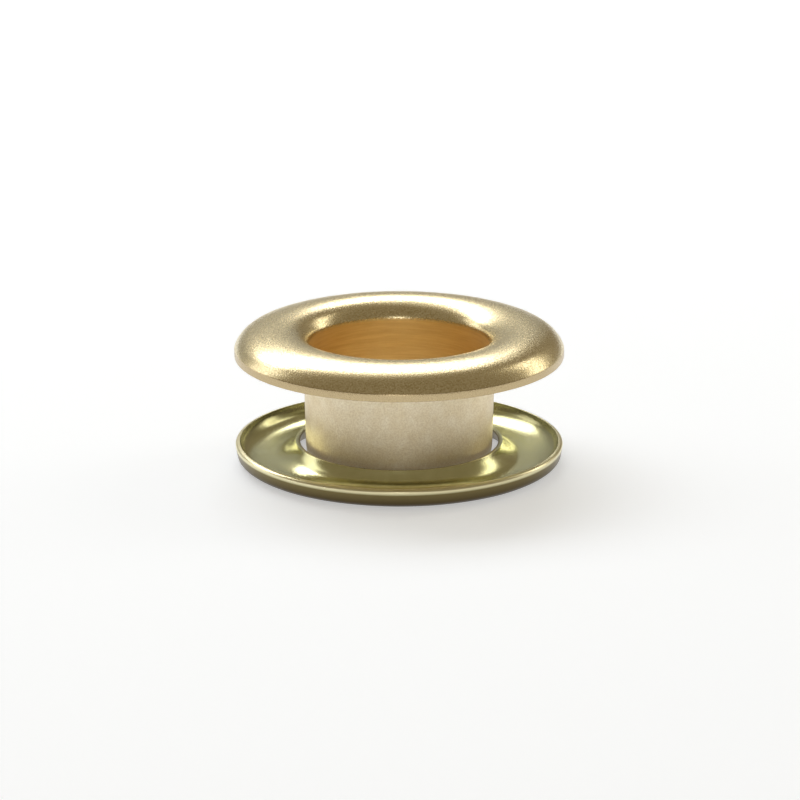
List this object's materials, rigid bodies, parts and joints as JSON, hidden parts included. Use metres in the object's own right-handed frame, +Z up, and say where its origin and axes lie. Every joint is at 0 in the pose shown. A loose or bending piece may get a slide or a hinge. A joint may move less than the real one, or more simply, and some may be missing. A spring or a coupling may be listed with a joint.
{
  "type": "grommet eyelet",
  "caption": "Round brass grommet eyelet with a domed flange and a plain drawn barrel, standing in the hole of its loose dished neck washer.",
  "frame": {"origin": "on the common axis of both pieces, in the plane that the barrel's end and the washer's foot rest on", "axes": "+Z up the common axis, from the barrel's end to the domed flange"},
  "size_m": [0.023, 0.023, 0.0097],
  "materials": {
    "eyelet_brass": "satin, tumbled",
    "washer_brass": "bright, smooth"
  },
  "bodies": {
    "root": {"eyelet": "eyelet_brass", "neck_washer": "washer_brass"}
  },
  "joints": []
}
